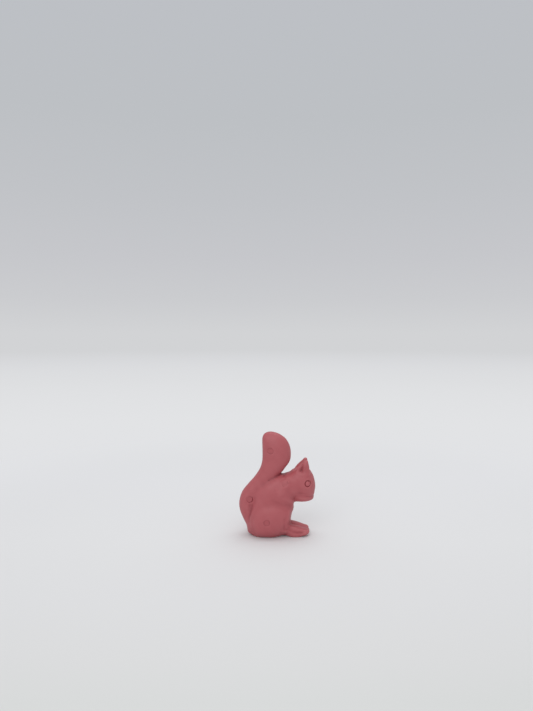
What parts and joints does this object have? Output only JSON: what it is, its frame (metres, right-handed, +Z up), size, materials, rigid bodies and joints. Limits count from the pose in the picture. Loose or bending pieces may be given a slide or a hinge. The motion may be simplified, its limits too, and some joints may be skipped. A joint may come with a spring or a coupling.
{
  "type": "toy squirrel figure",
  "caption": "Small plain rose plastic squirrel figure, sitting up on a flat seat with its tail along its back, moulded in hollow halves pinned and glued on its middle plane.",
  "frame": {"origin": "on the table under the middle of the figure's box, on the plane where the halves meet", "axes": "+X the way the squirrel faces, +Y to its left side, +Z up"},
  "size_m": [0.023, 0.0114, 0.0317],
  "materials": {
    "rose_plastic": "satin, coloured right through"
  },
  "bodies": {
    "root": {"right_half": "rose_plastic", "left_half": "rose_plastic"}
  },
  "joints": []
}
